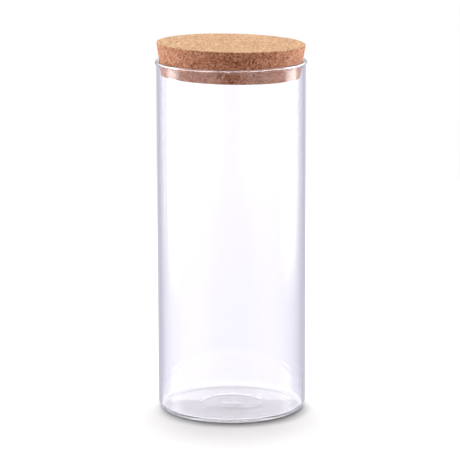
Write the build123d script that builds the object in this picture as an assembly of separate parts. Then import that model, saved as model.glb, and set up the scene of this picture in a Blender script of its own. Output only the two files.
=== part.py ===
from build123d import *
from math import atan2, cos, degrees, radians, sin, sqrt, tan
import os

# A straight-sided glass storage jar with a tapered cork lid. Lengths are in millimetres.
# The origin is the centre of the face that the jar stands on, at the height of that face.
# +Z is up, and +X is to the right of the front view.

# Jar sizes
JAR_DIAMETER = 100.0
JAR_HEIGHT = 238.5
WALL_THICKNESS = 1.9
FLOOR_THICKNESS = 3.0
HEEL_RADIUS = 6.0
FLOOR_CORNER_RADIUS = 2.5
LIP_FLARE = 0.8
LIP_NECK_RADIUS = 0.8

# Underside: a broad flat ring to stand on, round a shallow hollow
FOOT_WIDTH = 20.0
UNDERSIDE_RISE = 0.8

# Thick spot in the middle of the floor, where the tube was closed: a low round boss with a flatter crown
BOSS_RADIUS = 19.5
BOSS_RISE = 0.9
CROWN_RADIUS = 8.0
CROWN_RISE = 0.12

# Lid sizes: LID_DEPTH is how far it reaches below where it sits in the mouth
LID_THICKNESS = 21.8
LID_DEPTH = 9.0
LID_EDGE_RADIUS = 0.6
LID_CLEARANCE = 0.15
LID_TAPER_DEGREES = 8.9

# The lid sits a little askew, lower on the +X side
LID_TILT_DEGREES = 1.3

# Places on the jar that the sizes above set
outer_radius = JAR_DIAMETER / 2
inner_radius = outer_radius - WALL_THICKNESS
foot_radius = outer_radius - HEEL_RADIUS
hollow_radius = foot_radius - FOOT_WIDTH

# The boss is part of a ball, and the crown starts where that ball is CROWN_RADIUS from the axis
boss_ball = (BOSS_RADIUS**2 + BOSS_RISE**2) / (2 * BOSS_RISE)
boss_top = FLOOR_THICKNESS + BOSS_RISE
crown_z = boss_top - boss_ball + sqrt(boss_ball**2 - CROWN_RADIUS**2)

# The lip is a round bead, flush with the bore and proud of the wall outside
bead_radius = (WALL_THICKNESS + LIP_FLARE) / 2
bead_x = inner_radius + bead_radius
bead_z = JAR_HEIGHT - bead_radius

# The lid sits where its tapered side, held off by the clearance, would touch the bead
taper = radians(LID_TAPER_DEGREES)
tilt = radians(LID_TILT_DEGREES)
seat_radius = bead_x - (bead_radius + LID_CLEARANCE) * cos(taper)
seat_z = bead_z + (bead_radius + LID_CLEARANCE) * sin(taper)


def lip_outline():
    """The hollow neck under the lip, then the bead over to the bore."""
    reach = bead_radius + LIP_NECK_RADIUS
    neck_x = outer_radius + LIP_NECK_RADIUS
    neck_z = bead_z - sqrt(reach**2 - (neck_x - bead_x) ** 2)
    to_bead = degrees(atan2(bead_z - neck_z, bead_x - neck_x))
    neck = CenterArc((neck_x, neck_z), LIP_NECK_RADIUS, 180, to_bead - 180)
    bead = CenterArc((bead_x, bead_z), bead_radius, to_bead - 180, 360 - to_bead)
    return neck, bead


def floor_outline():
    """The inside of the floor, from its round corner in to the crown on the axis."""
    corner_x = inner_radius - FLOOR_CORNER_RADIUS
    corner_z = FLOOR_THICKNESS + FLOOR_CORNER_RADIUS
    corner = CenterArc((corner_x, corner_z), FLOOR_CORNER_RADIUS, 0, -90)
    flat = Line(corner @ 1, (BOSS_RADIUS, FLOOR_THICKNESS))
    lean = degrees(atan2(BOSS_RADIUS, boss_ball - BOSS_RISE))
    crown_lean = degrees(atan2(CROWN_RADIUS, sqrt(boss_ball**2 - CROWN_RADIUS**2)))
    boss = CenterArc((0, boss_top - boss_ball), boss_ball, 90 - lean, lean - crown_lean)
    crown = TangentArc((0, boss_top + CROWN_RISE), (CROWN_RADIUS, crown_z), tangent=(1, 0))
    return corner, flat, boss, crown


def glass_jar():
    """One glass shell: standing ring, hollow underside, round heel, thin wall and beaded lip."""
    underside = TangentArc((0, UNDERSIDE_RISE), (hollow_radius, 0), tangent=(1, 0))
    ring = Line((hollow_radius, 0), (foot_radius, 0))
    heel = CenterArc((foot_radius, HEEL_RADIUS), HEEL_RADIUS, -90, 90)
    neck, bead = lip_outline()
    wall = Line(heel @ 1, neck @ 0)
    floor = floor_outline()
    bore = Line(bead @ 1, floor[0] @ 0)
    axis = Line(floor[-1] @ 0, underside @ 0)
    outline = Curve() + [underside, ring, heel, wall, neck, bead, bore, *floor, axis]
    return revolve(Plane.XZ * make_face(outline), axis=Axis.Z)


def cork_lid():
    """One solid stopper of pressed cork, wider at the top, with its sharp edges eased."""
    bottom_radius = seat_radius - LID_DEPTH * tan(taper)
    lid_rise = LID_THICKNESS - LID_DEPTH
    top_radius = seat_radius + lid_rise * tan(taper)
    corners = [(0, -LID_DEPTH), (bottom_radius, -LID_DEPTH), (top_radius, lid_rise), (0, lid_rise)]
    section = make_face(Polyline(*corners, close=True))
    lid = revolve(Plane.XZ * section, axis=Axis.Z)
    lid = fillet(lid.edges().filter_by(GeomType.CIRCLE), LID_EDGE_RADIUS)
    # A tilted cone's level section moves off its axis, so the lid moves back to stay centred in the bore
    off_centre = seat_radius * tan(tilt) * tan(taper)
    return Pos(-off_centre, 0, seat_z) * Rot(0, LID_TILT_DEGREES, 0) * lid


os.makedirs("parts", exist_ok=True)
export_step(glass_jar(), "parts/glass_jar.step")
export_step(cork_lid(), "parts/cork_lid.step")
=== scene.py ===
from math import atan2, cos, degrees, hypot, pi, radians, sin, sqrt, tan

import bpy
from mathutils import Matrix, Vector, noise


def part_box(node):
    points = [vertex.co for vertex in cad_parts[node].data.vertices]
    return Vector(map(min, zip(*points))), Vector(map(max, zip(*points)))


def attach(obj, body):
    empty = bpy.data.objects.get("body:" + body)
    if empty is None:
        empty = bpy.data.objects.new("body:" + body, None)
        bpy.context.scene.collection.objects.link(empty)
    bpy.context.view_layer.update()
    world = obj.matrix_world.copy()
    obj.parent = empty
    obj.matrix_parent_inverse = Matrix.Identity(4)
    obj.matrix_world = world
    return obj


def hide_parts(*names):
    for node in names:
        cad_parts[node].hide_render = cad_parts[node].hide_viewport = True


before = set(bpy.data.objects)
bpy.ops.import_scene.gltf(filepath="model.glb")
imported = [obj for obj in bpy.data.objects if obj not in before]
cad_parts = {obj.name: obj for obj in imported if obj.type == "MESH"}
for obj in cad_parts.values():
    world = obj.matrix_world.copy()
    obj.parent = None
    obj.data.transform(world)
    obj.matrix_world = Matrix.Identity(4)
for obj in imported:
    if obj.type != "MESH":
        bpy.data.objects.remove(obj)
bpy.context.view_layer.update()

# A tall glass storage jar with a tapered cork lid. Lengths are in metres, in the CAD model's frame:
# +Z is up, -Y faces the camera, and the origin is the middle of the face that the jar stands on.
MM = 0.001

# Jar, from its box in the CAD model and the sizes of its glass
jar_top_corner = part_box("glass_jar")[1]
JAR_HEIGHT = jar_top_corner.z
LIP_RADIUS = jar_top_corner.x
LIP_FLARE = 0.8 * MM
LIP_NECK_RADIUS = 0.8 * MM
WALL_THICKNESS = 1.9 * MM
FLOOR_THICKNESS = 3.0 * MM
HEEL_RADIUS = 6.0 * MM
FLOOR_CORNER_RADIUS = 2.5 * MM
FOOT_WIDTH = 20.0 * MM
UNDERSIDE_RISE = 0.8 * MM
BOSS_RADIUS = 19.5 * MM
BOSS_RISE = 0.9 * MM
CROWN_RADIUS = 8.0 * MM
CROWN_RISE = 0.12 * MM

# Lid
LID_THICKNESS = 21.8 * MM
LID_DEPTH = 9.0 * MM
LID_EDGE_RADIUS = 0.6 * MM
LID_CLEARANCE = 0.15 * MM
LID_TAPER = radians(8.9)
LID_TILT = radians(1.3)

# Pressed cork: bark crushed to grains of 1 to 3 mm and crumbs under 1 mm, with pits of about 1 mm between
# them. Its cells are 0.04 mm wide, too fine to show, so their fibre is drawn about ten times coarser.
GRAIN_MM = 2.0
CRUMB_MM = 0.8
FIBRE_MM = 0.45
PIT_MM = 1.5

# Crushed grains aren't round: their pattern is pulled about, at most this far, in bends of this size
PULL_MM = 0.8
BEND_MM = 1.4

# How deep the cork's skin is cut: round each grain, over a whole grain at most, and in the pits
GROOVE_DEPTH_MM = 0.07
SUNK_DEPTH_MM = 0.05
PIT_DEPTH_MM = 0.38
# The groove round a grain, as a share of the grain's size
GROOVE_SHARE = 0.16
# A pit starts where its pattern passes the first value, and has its full depth past the second
PIT_START = 0.38
PIT_FULL = 0.62

# How finely the meshes are divided
GLASS_SIDES = 256
GLASS_PITCH = 12.0 * MM
CORK_SIDES = 480
CORK_PITCH = 0.65 * MM
CORK_UNDER_PITCH = 2.5 * MM
TABLE_SIDES = 96
# Rings this close to the ends of the glass's straight runs keep the smooth shading of the curves out of them
HOLD = 0.15 * MM
# Points nearer to the axis than this lie on it
ON_AXIS = 0.01 * MM

outer_radius = LIP_RADIUS - LIP_FLARE
inner_radius = outer_radius - WALL_THICKNESS
bead_radius = (WALL_THICKNESS + LIP_FLARE) / 2
bead_x = inner_radius + bead_radius
bead_z = JAR_HEIGHT - bead_radius
seat_radius = bead_x - (bead_radius + LID_CLEARANCE) * cos(LID_TAPER)
seat_z = bead_z + (bead_radius + LID_CLEARANCE) * sin(LID_TAPER)


# Outlines: lists of (radius, height) points

def arc(centre, radius, start, sweep, steps):
    """Points along an arc, both ends included. Angles are in degrees."""
    turns = [radians(start + sweep * i / steps) for i in range(steps + 1)]
    return [(centre[0] + radius * cos(t), centre[1] + radius * sin(t)) for t in turns]


def dome(edge, axis_height, steps):
    """Points from the axis out to the edge point on a shallow arc that is level at the axis."""
    rise = axis_height - edge[1]
    radius = (edge[0] ** 2 + rise**2) / (2 * abs(rise))
    way = 1 if rise > 0 else -1
    spots = [edge[0] * i / steps for i in range(steps + 1)]
    return [(x, axis_height - way * (radius - sqrt(radius**2 - x**2))) for x in spots]


def straight(start, end, pitch, hold=0.0):
    """Points between two ends, left out themselves, about a pitch apart. Hold puts one that near to both."""
    length = hypot(end[0] - start[0], end[1] - start[1])
    steps = max(1, round(length / pitch))
    shares = [i / steps for i in range(1, steps)]
    if hold:
        shares = [hold / length] + shares + [1 - hold / length]
    return [(start[0] + (end[0] - start[0]) * s, start[1] + (end[1] - start[1]) * s) for s in shares]


def glass_outline():
    """The glass in half section, from the axis on the underside, round the lip, to the axis on the floor."""
    foot_radius = outer_radius - HEEL_RADIUS
    underside = dome((foot_radius - FOOT_WIDTH, 0), UNDERSIDE_RISE, steps=16)
    heel = arc((foot_radius, HEEL_RADIUS), HEEL_RADIUS, -90, 90, steps=24)

    # The neck's hollow curve touches both the wall and the lip's bead
    reach = bead_radius + LIP_NECK_RADIUS
    neck_x = outer_radius + LIP_NECK_RADIUS
    neck_z = bead_z - sqrt(reach**2 - (neck_x - bead_x) ** 2)
    to_bead = degrees(atan2(bead_z - neck_z, bead_x - neck_x))
    neck = arc((neck_x, neck_z), LIP_NECK_RADIUS, 180, to_bead - 180, steps=6)
    bead = arc((bead_x, bead_z), bead_radius, to_bead - 180, 360 - to_bead, steps=24)

    corner_x = inner_radius - FLOOR_CORNER_RADIUS
    corner_z = FLOOR_THICKNESS + FLOOR_CORNER_RADIUS
    corner = arc((corner_x, corner_z), FLOOR_CORNER_RADIUS, 0, -90, steps=20)

    # The boss is a shallow dome, and the crown on its middle stands a little higher
    boss_top = FLOOR_THICKNESS + BOSS_RISE
    boss_ball = (BOSS_RADIUS**2 + BOSS_RISE**2) / (2 * BOSS_RISE)
    crown_z = boss_top - boss_ball + sqrt(boss_ball**2 - CROWN_RADIUS**2)
    crown = dome((CROWN_RADIUS, crown_z), boss_top + CROWN_RISE, steps=8)
    boss = dome((BOSS_RADIUS, FLOOR_THICKNESS), boss_top, steps=26)
    boss = [spot for spot in boss if spot[0] > CROWN_RADIUS]

    ring = straight(underside[-1], heel[0], GLASS_PITCH, HOLD)
    wall = straight(heel[-1], neck[0], GLASS_PITCH, HOLD)
    bore = straight(bead[-1], corner[0], GLASS_PITCH, HOLD)
    flat = straight(corner[-1], boss[-1], GLASS_PITCH, HOLD)
    outside = underside + ring + heel + wall + neck
    return outside + bead[1:] + bore + corner + flat + boss[::-1] + crown[::-1]


def cork_outline():
    """The lid in half section in its own frame, with height 0 where it sits in the mouth."""
    bottom = seat_radius - LID_DEPTH * tan(LID_TAPER)
    top_z = LID_THICKNESS - LID_DEPTH
    top = seat_radius + top_z * tan(LID_TAPER)
    ease = LID_EDGE_RADIUS
    lean = degrees(LID_TAPER)

    # The centres of the eased edges, a radius in from both faces
    low_x = bottom + (ease * sin(LID_TAPER) - ease) / cos(LID_TAPER)
    low_centre = (low_x, -LID_DEPTH + ease)
    high_x = top - (ease * sin(LID_TAPER) + ease) / cos(LID_TAPER)
    high_centre = (high_x, top_z - ease)
    low_edge = arc(low_centre, ease, -90, 90 - lean, steps=3)
    high_edge = arc(high_centre, ease, -lean, 90 + lean, steps=4)

    floor = [(0, -LID_DEPTH)] + straight((0, -LID_DEPTH), low_edge[0], CORK_UNDER_PITCH)
    side = straight(low_edge[-1], high_edge[0], CORK_PITCH)
    roof = straight(high_edge[-1], (0, top_z), CORK_PITCH) + [(0, top_z)]
    return floor + low_edge + side + high_edge + roof


# Meshes

def put_in_scene(name, points, faces):
    """A new object in the scene with a mesh of these points and faces."""
    mesh = bpy.data.meshes.new(name)
    mesh.from_pydata(points, [], faces)
    piece = bpy.data.objects.new(name, mesh)
    bpy.context.scene.collection.objects.link(piece)
    return piece


def lathe(name, outline, sides):
    """A closed mesh turned round the Z axis. The outline starts and ends on the axis."""
    points = []
    rings = []
    for radius, height in outline:
        if radius < ON_AXIS:
            rings.append([len(points)])
            points.append((0, 0, height))
        else:
            turns = [2 * pi * i / sides for i in range(sides)]
            rings.append(list(range(len(points), len(points) + sides)))
            points += [(radius * cos(t), radius * sin(t), height) for t in turns]
    faces = []
    for low, high in zip(rings, rings[1:]):
        for i in range(sides):
            k = (i + 1) % sides
            corners = [low[i % len(low)], low[k % len(low)], high[k % len(high)], high[i % len(high)]]
            faces.append(list(dict.fromkeys(corners)))
    piece = put_in_scene(name, points, faces)
    piece.data.shade_smooth()
    return piece


def glass_jar():
    """The whole glass shell: standing ring, round heel, thin wall, beaded lip and the boss in the floor."""
    return lathe("jar_glass", glass_outline(), GLASS_SIDES)


def smooth_step(value, start, end):
    """Nought below start, one above end, and an S-shaped rise between them."""
    share = min(1, max(0, (value - start) / (end - start)))
    return share * share * (3 - 2 * share)


def cork_lid():
    """The cork, with the relief of its grains and the pits between them cut into its skin."""
    lid = lathe("lid_cork", cork_outline(), CORK_SIDES)
    mesh = lid.data
    pits = mesh.attributes.new("pit", "FLOAT", "POINT")
    sides = mesh.attributes.new("turned_side", "FLOAT", "POINT")
    # These keep the pits apart from the grains' own pattern, and each grain's depth from its neighbours'
    pit_shift = Vector((11, 5, 3))
    seed_stretch = 7.3
    skin = [(vertex.co.copy(), vertex.normal.copy()) for vertex in mesh.vertices]
    for vertex, (spot, outward) in zip(mesh.vertices, skin):
        place = spot / MM
        near, seeds = noise.voronoi(place / GRAIN_MM)
        groove = 1 - smooth_step(near[1] - near[0], 0.0, GROOVE_SHARE)
        sunk = noise.cell(seeds[0] * seed_stretch) * 0.5 + 0.5
        pit = smooth_step(noise.noise(place / PIT_MM + pit_shift), PIT_START, PIT_FULL)
        cut = groove * GROOVE_DEPTH_MM + sunk * SUNK_DEPTH_MM + pit * PIT_DEPTH_MM
        vertex.co = spot - outward * cut * MM
        pits.data[vertex.index].value = pit
        sides.data[vertex.index].value = 1 - smooth_step(abs(outward.z), 0.3, 0.7)
    return lid


# Materials

def linear(colour):
    """The linear RGBA of an sRGB hex colour such as c8a27c."""
    parts = [int(colour[i : i + 2], 16) / 255 for i in (0, 2, 4)]
    return tuple(p / 12.92 if p <= 0.04045 else ((p + 0.055) / 1.055) ** 2.4 for p in parts) + (1.0,)


def add(tree, kind, inputs=None, **settings):
    """A node with its settings. Inputs are set to values, or joined to sockets or nodes' first outputs."""
    node = tree.nodes.new(kind)
    for name, value in settings.items():
        setattr(node, name, value)
    for name, value in (inputs or {}).items():
        into = [s for i, s in enumerate(node.inputs) if s.enabled and name in (i, s.name)][0]
        if isinstance(value, bpy.types.Node):
            value = [s for s in value.outputs if s.enabled][0]
        if isinstance(value, bpy.types.NodeSocket):
            tree.links.new(value, into)
        else:
            into.default_value = value
    return node


def new_material(name):
    """An empty material, with its node tree."""
    material = bpy.data.materials.new(name)
    material.use_nodes = True
    material.node_tree.nodes.clear()
    return material, material.node_tree


def borosilicate_glass():
    """Drawn tube glass with melted edges: smooth, fully clear and a touch cool."""
    material, tree = new_material("borosilicate_glass")
    glass = add(tree, "ShaderNodeBsdfPrincipled", {
        "Base Color": linear("fbfafd"),
        "Roughness": 0.0,
        "IOR": 1.473,
        "Transmission Weight": 1.0,
    })
    add(tree, "ShaderNodeOutputMaterial", {"Surface": glass.outputs[0]})
    return material


def pressed_cork():
    """Cork grains pressed and glued into a block, then turned and sanded: a dry, mottled, matt skin."""
    material, tree = new_material("pressed_cork")
    place = add(tree, "ShaderNodeTexCoord").outputs["Object"]

    # The noise runs from 0 to 1, and half is taken off so that it pulls both ways
    bend = add(tree, "ShaderNodeTexNoise", {"Vector": place, "Scale": 1 / (BEND_MM * MM), "Detail": 2.0})
    both_ways = {0: bend.outputs["Color"], 1: (0.5, 0.5, 0.5)}
    bend = add(tree, "ShaderNodeVectorMath", both_ways, operation="SUBTRACT")
    bend = add(tree, "ShaderNodeVectorMath", {0: bend, "Scale": 2 * PULL_MM * MM}, operation="SCALE")
    place = add(tree, "ShaderNodeVectorMath", {0: place, 1: bend}, operation="ADD")

    grain_cells = {"Vector": place, "Scale": 1 / (GRAIN_MM * MM)}
    crumb_cells = {"Vector": place, "Scale": 1 / (CRUMB_MM * MM)}
    grains = add(tree, "ShaderNodeTexVoronoi", grain_cells)
    crumbs = add(tree, "ShaderNodeTexVoronoi", crumb_cells)
    seams = add(tree, "ShaderNodeTexVoronoi", grain_cells, feature="DISTANCE_TO_EDGE")
    grain = add(tree, "ShaderNodeSeparateColor", {"Color": grains.outputs["Color"]}).outputs
    crumb = add(tree, "ShaderNodeSeparateColor", {"Color": crumbs.outputs["Color"]}).outputs
    fibre = add(tree, "ShaderNodeTexNoise", {"Vector": place, "Scale": 1 / (FIBRE_MM * MM), "Detail": 3.0})
    contrast = {"Value": fibre.outputs["Fac"], "From Min": 0.35, "From Max": 0.65}
    fibre = add(tree, "ShaderNodeMapRange", contrast)

    # How light or dark a spot is: part from its grain, part from its crumb and part from its fibre
    tone = add(tree, "ShaderNodeMath", {0: grain[0], 1: 0.17}, operation="MULTIPLY")
    tone = add(tree, "ShaderNodeMath", {0: crumb[0], 1: 0.43, 2: tone}, operation="MULTIPLY_ADD")
    tone = add(tree, "ShaderNodeMath", {0: fibre, 1: 0.40, 2: tone}, operation="MULTIPLY_ADD")
    colours = add(tree, "ShaderNodeValToRGB", {"Fac": tone})
    stops = colours.color_ramp.elements
    for stop, (spot, colour) in zip(stops, ((0.24, "7a4d31"), (0.76, "d6c19b"))):
        stop.position = spot
        stop.color = linear(colour)
    for spot, colour in ((0.37, "a37850"), (0.5, "b9916a"), (0.62, "c6a37d")):
        stops.new(spot).color = linear(colour)

    # Glue and crushed edges between the grains
    seam = add(tree, "ShaderNodeMapRange", {
        "Value": seams.outputs["Distance"], "From Min": 0.0, "From Max": 0.09, "To Min": 0.55, "To Max": 0.0,
    }, interpolation_type="SMOOTHSTEP")
    skin = {"Factor": seam, "A": colours.outputs["Color"], "B": linear("9a5f3d")}
    skin = add(tree, "ShaderNodeMix", skin, data_type="RGBA")

    # Bits of dark bark in a few crumbs and fewer grains, darker on the turned side, and painted shade in the
    # pits
    side = add(tree, "ShaderNodeAttribute", attribute_name="turned_side").outputs["Fac"]
    depth = add(tree, "ShaderNodeMath", {0: side, 1: 0.35, 2: 0.38}, operation="MULTIPLY_ADD")
    for value, all_but, colour in ((crumb[1], 0.972, "5a2b1a"), (grain[1], 0.988, "4c2417")):
        bark = add(tree, "ShaderNodeMath", {0: value, 1: all_but}, operation="GREATER_THAN")
        bark = add(tree, "ShaderNodeMath", {0: bark, 1: depth}, operation="MULTIPLY")
        skin = {"Factor": bark, "A": skin, "B": linear(colour)}
        skin = add(tree, "ShaderNodeMix", skin, data_type="RGBA")
    # Painted shade: the pits, which are also cut into the mesh, are coloured darker as the shade inside them
    pit = add(tree, "ShaderNodeAttribute", attribute_name="pit").outputs["Fac"]
    pit = add(tree, "ShaderNodeMath", {0: pit, 1: 0.4}, operation="MULTIPLY")
    skin = add(tree, "ShaderNodeMix", {"Factor": pit, "A": skin, "B": linear("6b3a24")}, data_type="RGBA")

    # The turned side is a little redder than the sanded top
    skin = {"Factor": side, "A": skin, "B": linear("ffe1e2")}
    skin = add(tree, "ShaderNodeMix", skin, data_type="RGBA", blend_type="MULTIPLY")

    # Fine relief: each grain and fibre stands a little higher or lower, and the seams are sunk
    height = add(tree, "ShaderNodeMath", {0: grain[2], 1: 0.3, 2: tone}, operation="MULTIPLY_ADD")
    height = add(tree, "ShaderNodeMath", {0: seam, 1: -0.5, 2: height}, operation="MULTIPLY_ADD")
    bump = add(tree, "ShaderNodeBump", {"Height": height, "Strength": 0.6, "Distance": 0.12 * MM})
    cork = add(tree, "ShaderNodeBsdfPrincipled", {
        "Base Color": skin,
        "Roughness": 0.85,
        "Specular IOR Level": 0.3,
        "Sheen Weight": 0.03,
        "Sheen Roughness": 0.5,
        "Normal": bump,
    })
    add(tree, "ShaderNodeOutputMaterial", {"Surface": cork.outputs[0]})
    return material


def white_card(name, painted_contact_shade):
    """Matt white card, a plain even floor. With the contact shade flag set, its colour is darkened round the
    jar's foot into a soft dark line of painted shade.
    """
    material, tree = new_material(name)
    card = add(tree, "ShaderNodeBsdfPrincipled", {"Base Color": linear("efefef"), "Roughness": 0.9})
    if painted_contact_shade:
        # Painted shade: the card's grey is darkened where the glass is near. It is measured about a
        # direction leaning towards the light above and behind, so the painted shade lies to the front of the
        # jar
        shade_tilt = add(tree, "ShaderNodeCombineXYZ", dict(zip("XYZ", PAINTED_SHADE_TILT)))
        around = {"Distance": PAINTED_SHADE_REACH, "Normal": shade_tilt}
        open_share = add(tree, "ShaderNodeAmbientOcclusion", around, samples=8).outputs["AO"]
        painted_shade_level = add(tree, "ShaderNodeMapRange", {
            "Value": open_share, "From Min": 0.2, "From Max": 0.7, "To Min": PAINTED_SHADE_GREY, "To Max": CARD_GREY,
        })
        grey = add(tree, "ShaderNodeCombineColor", {0: painted_shade_level, 1: painted_shade_level, 2: painted_shade_level})
        tree.links.new(grey.outputs[0], card.inputs["Base Color"])
    add(tree, "ShaderNodeOutputMaterial", {"Surface": card.outputs[0]})
    return material


# Studio

# The photograph's camera: a long lens 1.8 m in front of the jar, looking down on it. Angles in degrees.
IMAGE_PIXELS = 460
FOCAL_PIXELS = 2712.2
SENSOR_MM = 36
CAMERA_PLACE = (-1.0 * MM, -1800 * MM, 480.3 * MM)
CAMERA_DOWN = 11.238
CAMERA_ROLL = -0.171

# The table is two pieces, a hair below the ring that the jar stands on, so that light finds the gap
TABLE_RADIUS = 900 * MM
TABLE_HOLE = 43 * MM
TABLE_DROP = 0.03 * MM
DISC_RADIUS = 45 * MM
DISC_DROP = 0.02 * MM

# The painted shade where the jar stands: how far it reaches, its grey beside the glass, the card's grey away
# from it, and the direction, leaning towards the light above and behind, that it is measured about
PAINTED_SHADE_REACH = 14 * MM
PAINTED_SHADE_GREY = 0.16
CARD_GREY = 0.94
PAINTED_SHADE_TILT = (-0.15, 0.79, 0.59)

# A white softbox above and behind the jar, and how bright its face is
SOFTBOX_PLACE = (0, 220 * MM, 1200 * MM)
SOFTBOX_WIDTH = 350 * MM
SOFTBOX_HEIGHT = 400 * MM
SOFTBOX_RADIANCE = 16.0

# The studio's lights are soft-edged panels: a colour, how bright it is, its turns and its heights. Turns are
# degrees away from straight behind the jar, the same to both sides, and heights are degrees above the
# horizon. Both are given by where the first edge starts, where the panel is full, where it starts to fade
# and where it ends. Each panel covers those above it in its list.
ALL_ROUND = (-9, -8, 188, 189)
ALL_HEIGHTS = (-99, -98, 98, 99)
FRONT = (100, 165, 188, 189)
ALL_BUT_BACK = (10, 105, 188, 189)
# The middle of the back, for all panels, is this many degrees off straight behind the jar
PANELS_OFF = 2.5

# What the glass mirrors. The floor of the jar mirrors the backdrop's bright edge as a straight line.
ROOM_BASE = ("f2f0ff", 0.68)
ROOM = {
    "upper_back": ("fefeff", 1.37, ALL_ROUND, (0, 10, 98, 99)),
    "below": ("f4f2ff", 1.25, ALL_ROUND, (-99, -98, -36, -25)),
    "backdrop_edge": ("ffffff", 1.9, ALL_ROUND, (14.54, 14.64, 14.80, 14.84)),
    "front": ("ffffff", 0.8, FRONT, ALL_HEIGHTS),
    "dark_front": ("fffaff", 0.15, FRONT, (-24, -17, -5, 0)),
    "side_fill": ("ffffff", 1.15, (85, 100, 150, 172), (-11, -9.3, -2, 2)),
    "side_light": ("fdfdff", 5.0, (54, 70, 79, 95), (-13, -9.5, 25, 45)),
    "overhead": ("ffffff", 5.0, (60, 100, 188, 189), (30, 50, 98, 99)),
}

# What the outside of the glass mirrors over the room: the strip draws the lip, and the near table the heel
OUTSIDE = {
    "strip": ("ffffff", 22.0, ALL_BUT_BACK, (-6, 0, 20, 34)),
    "near_table": ("ffffff", 1.5, ALL_BUT_BACK, (-99, -98, -30, -17)),
}

# What lights the cork and the table
LAMPS_BASE = ("ffffff", 0.6)
LAMPS = {
    "front": ("ffe8f0", 0.54, (90, 120, 188, 189), ALL_HEIGHTS),
    "sides": ("f9fbff", 5.4, (30, 60, 78, 106), (-99, -98, 8, 22)),
    "ceiling": ("fffdfc", 0.80, ALL_ROUND, (10, 26, 98, 99)),
}

# What shows straight through the glass: a white ceiling, and cards round the jar, one every 45 degrees, with
# grey gaps between them. The cards are a touch cooler and dimmer low down.
CARDS = 8
CARDS_OFF = radians(1.5)
CARD_GAP = ("f2f0ff", 0.78)
LOW_CARD = ("fbfbff", 1.19)
HIGH_CARD = ("fefeff", 1.23)
CEILING = ("ffffff", 1.5)

# What the camera sees round the jar
BACKDROP = ("ffffff", 1.0)

# The softbox doesn't shine through the glass, so the panels give this share more to what is lit through it
GAIN_THROUGH_GLASS = 0.75


def camera():
    """The photograph's view: from the front, a little above the jar, with a long lens."""
    data = bpy.data.cameras.new("camera")
    data.sensor_width = SENSOR_MM
    data.lens = FOCAL_PIXELS / IMAGE_PIXELS * SENSOR_MM
    shot = bpy.data.objects.new("camera", data)
    bpy.context.scene.collection.objects.link(shot)
    look_down = Matrix.Rotation(radians(90 - CAMERA_DOWN), 4, "X")
    roll = Matrix.Rotation(radians(CAMERA_ROLL), 4, "Z")
    shot.matrix_world = Matrix.Translation(CAMERA_PLACE) @ look_down @ roll
    bpy.context.scene.camera = shot


def table(name, hole, rim, level):
    """A flat round stage piece, with a round hole unless the hole's radius is nought."""
    turns = [2 * pi * i / TABLE_SIDES for i in range(TABLE_SIDES)]
    points = [(rim * cos(t), rim * sin(t), level) for t in turns]
    if hole:
        points += [(hole * cos(t), hole * sin(t), level) for t in turns]
        after = [(i + 1) % TABLE_SIDES for i in range(TABLE_SIDES)]
        faces = [(i, k, TABLE_SIDES + k, TABLE_SIDES + i) for i, k in enumerate(after)]
    else:
        faces = [list(range(TABLE_SIDES))]
    piece = put_in_scene(name, points, faces)
    return piece


def softbox():
    """The white light above and behind the jar, aimed at its foot."""
    data = bpy.data.lights.new("top_softbox", "AREA")
    data.shape = "RECTANGLE"
    data.size = SOFTBOX_WIDTH
    data.size_y = SOFTBOX_HEIGHT
    data.energy = SOFTBOX_RADIANCE * pi * SOFTBOX_WIDTH * SOFTBOX_HEIGHT
    # It lights what is matt, and the smooth glass neither mirrors it nor lets it through
    data.cycles.use_multiple_importance_sampling = False
    lamp = bpy.data.objects.new("top_softbox", data)
    bpy.context.scene.collection.objects.link(lamp)
    lamp.location = SOFTBOX_PLACE
    lamp.rotation_mode = "QUATERNION"
    lamp.rotation_quaternion = (-Vector(SOFTBOX_PLACE)).to_track_quat("-Z", "Y")
    lamp.visible_camera = False


def glow(colour, radiance):
    """How bright a light's face is, in linear RGBA, from its sRGB hex colour."""
    return tuple(radiance * part for part in linear(colour)[:3]) + (1.0,)


def soft_panels(tree, scene, panels, turn, height):
    """What a direction of the studio shows: the scene, with each panel in turn laid over it."""
    for colour, radiance, turns, heights in panels.values():
        edges = []
        for value, (start, full, fade, end) in ((turn, turns), (height, heights)):
            for near, far in ((start, full), (end, fade)):
                edge = {"Value": value, "From Min": near, "From Max": far}
                edges.append(add(tree, "ShaderNodeMapRange", edge, interpolation_type="SMOOTHSTEP"))
        share = edges[0]
        for edge in edges[1:]:
            share = add(tree, "ShaderNodeMath", {0: share, 1: edge}, operation="MULTIPLY")
        panel = {"Factor": share, "A": scene, "B": glow(colour, radiance)}
        scene = add(tree, "ShaderNodeMix", panel, data_type="RGBA")
    return scene


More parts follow.
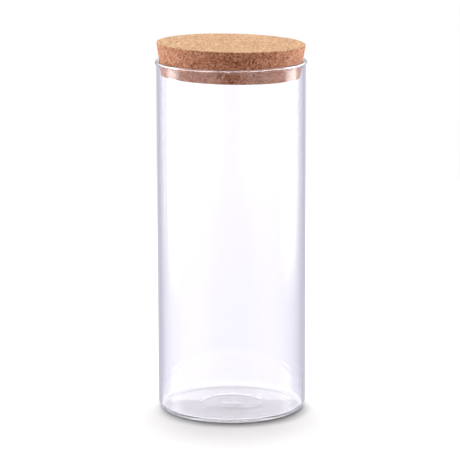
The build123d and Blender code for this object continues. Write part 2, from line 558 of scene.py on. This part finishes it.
def white_cards(tree, turn, height):
    """White cards all round, with soft grey gaps between them: what shows straight through the glass."""
    across = {0: turn, 1: radians(CARDS), 2: CARDS * CARDS_OFF}
    wave = add(tree, "ShaderNodeMath", across, operation="MULTIPLY_ADD")
    wave = add(tree, "ShaderNodeMath", {0: wave}, operation="COSINE")
    share = add(tree, "ShaderNodeMath", {0: wave, 1: 0.5, 2: 0.5}, operation="MULTIPLY_ADD")
    # The gaps are a little wider low down
    narrow = add(tree, "ShaderNodeMapRange", {
        "Value": height, "From Min": -15, "From Max": -8, "To Min": 1.5, "To Max": 1.2,
    }, interpolation_type="SMOOTHSTEP")
    share = add(tree, "ShaderNodeMath", {0: share, 1: narrow}, operation="POWER")
    level = {"Value": height, "From Min": -15, "From Max": -9}
    level = add(tree, "ShaderNodeMapRange", level, interpolation_type="SMOOTHSTEP")
    card = {"Factor": level, "A": glow(*LOW_CARD), "B": glow(*HIGH_CARD)}
    card = add(tree, "ShaderNodeMix", card, data_type="RGBA")
    cards = {"Factor": share, "A": glow(*CARD_GAP), "B": card}
    cards = add(tree, "ShaderNodeMix", cards, data_type="RGBA")
    upward = {"Value": height, "From Min": 30, "From Max": 50}
    upward = add(tree, "ShaderNodeMapRange", upward, interpolation_type="SMOOTHSTEP")
    ceiling = {"Factor": upward, "A": cards, "B": glow(*CEILING)}
    return add(tree, "ShaderNodeMix", ceiling, data_type="RGBA")


def studio_world():
    """Light from all round: a white backdrop, what the glass shows and mirrors, and what lights the rest."""
    world = bpy.data.worlds.new("studio")
    world.use_nodes = True
    tree = world.node_tree
    tree.nodes.clear()

    # A direction's turn, from straight behind the jar, and its height, both in degrees
    way = add(tree, "ShaderNodeTexCoord").outputs["Generated"]
    x, y, z = add(tree, "ShaderNodeSeparateXYZ", {"Vector": way}).outputs
    turn = add(tree, "ShaderNodeMath", {0: x, 1: y}, operation="ARCTAN2")
    turn = add(tree, "ShaderNodeMath", {0: turn}, operation="DEGREES")
    height = add(tree, "ShaderNodeMath", {0: z}, operation="ARCSINE")
    height = add(tree, "ShaderNodeMath", {0: height}, operation="DEGREES")
    away = add(tree, "ShaderNodeMath", {0: turn, 1: PANELS_OFF}, operation="ADD")
    away = add(tree, "ShaderNodeMath", {0: away}, operation="ABSOLUTE")

    cards = white_cards(tree, turn, height)
    room = soft_panels(tree, glow(*ROOM_BASE), ROOM, away, height)
    outer_room = soft_panels(tree, room, OUTSIDE, away, height)
    lamps = soft_panels(tree, glow(*LAMPS_BASE), LAMPS, away, height)
    path = add(tree, "ShaderNodeLightPath").outputs

    # The camera's own ray has depth 1, so one that the outside of the glass mirrors has depth 2. A singular
    # ray comes from smooth glass, not from the cork or the table.
    outside = add(tree, "ShaderNodeMath", {0: path["Ray Depth"], 1: 2.5}, operation="LESS_THAN")
    outside = {0: outside, 1: path["Is Singular Ray"]}
    outside = add(tree, "ShaderNodeMath", outside, operation="MULTIPLY")
    room = add(tree, "ShaderNodeMix", {"Factor": outside, "A": room, "B": outer_room}, data_type="RGBA")

    # Glass shows the room once a ray has been mirrored, and the cards where it only went through
    mirrored = add(tree, "ShaderNodeMath", {0: path["Glossy Depth"], 1: 0.5}, operation="GREATER_THAN")
    shown = add(tree, "ShaderNodeMix", {"Factor": mirrored, "A": cards, "B": room}, data_type="RGBA")

    gain = {0: path["Is Transmission Ray"], 1: GAIN_THROUGH_GLASS, 2: 1.0}
    gain = add(tree, "ShaderNodeMath", gain, operation="MULTIPLY_ADD")
    lamps = {"Factor": 1.0, "A": lamps, "B": gain}
    lamps = add(tree, "ShaderNodeMix", lamps, data_type="RGBA", blend_type="MULTIPLY")

    # A ray bent or mirrored before it meets anything matt shows this, and any other one shows the lamps
    bent = {0: path["Is Glossy Ray"], 1: path["Is Transmission Ray"]}
    bent = add(tree, "ShaderNodeMath", bent, operation="MAXIMUM")
    first = add(tree, "ShaderNodeMath", {0: path["Diffuse Depth"], 1: 0.5}, operation="LESS_THAN")
    glass_view = add(tree, "ShaderNodeMath", {0: bent, 1: first}, operation="MULTIPLY")
    seen = add(tree, "ShaderNodeMix", {"Factor": glass_view, "A": lamps, "B": shown}, data_type="RGBA")

    white = {"Factor": path["Is Camera Ray"], "A": seen, "B": glow(*BACKDROP)}
    white = add(tree, "ShaderNodeMix", white, data_type="RGBA")
    shine = add(tree, "ShaderNodeBackground", {"Color": white, "Strength": 1.0})
    add(tree, "ShaderNodeOutputWorld", {"Surface": shine.outputs[0]})
    bpy.context.scene.world = world


def studio():
    """A white table with painted shade round the jar's foot, a soft light above and behind the jar, and the
    world's panels and cards all round.
    """
    # What the glass shows of the table
    below = table("table_in_glass", 0, DISC_RADIUS, -DISC_DROP)
    below.data.materials.append(white_card("white_card_in_glass", painted_contact_shade=False))
    below.visible_camera = False
    # What the camera sees of it beside the jar, with painted shade round the jar's foot
    beside = table("table", TABLE_HOLE, TABLE_RADIUS, -TABLE_DROP)
    beside.data.materials.append(white_card("white_card", painted_contact_shade=True))
    beside.visible_glossy = False
    beside.visible_transmission = False
    for piece in (below, beside):
        piece.visible_diffuse = False
        piece.visible_shadow = False
    softbox()
    studio_world()
    bpy.context.scene.view_settings.view_transform = "Standard"
    # A ray crosses many faces of clear glass before it is out again
    bpy.context.scene.cycles.max_bounces = 40
    bpy.context.scene.cycles.transmission_bounces = 32
    bpy.context.scene.cycles.glossy_bounces = 16


jar = glass_jar()
jar.data.materials.append(borosilicate_glass())
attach(jar, "jar")
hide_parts("glass_jar")

# The lid sits askew in the mouth, and a little off centre, so that its clearance is the same on both sides
lid = cork_lid()
off_centre = seat_radius * tan(LID_TILT) * tan(LID_TAPER)
lid.data.transform(Matrix.Translation((-off_centre, 0, seat_z)) @ Matrix.Rotation(LID_TILT, 4, "Y"))
lid.data.materials.append(pressed_cork())
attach(lid, "lid")
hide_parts("cork_lid")

studio()
camera()
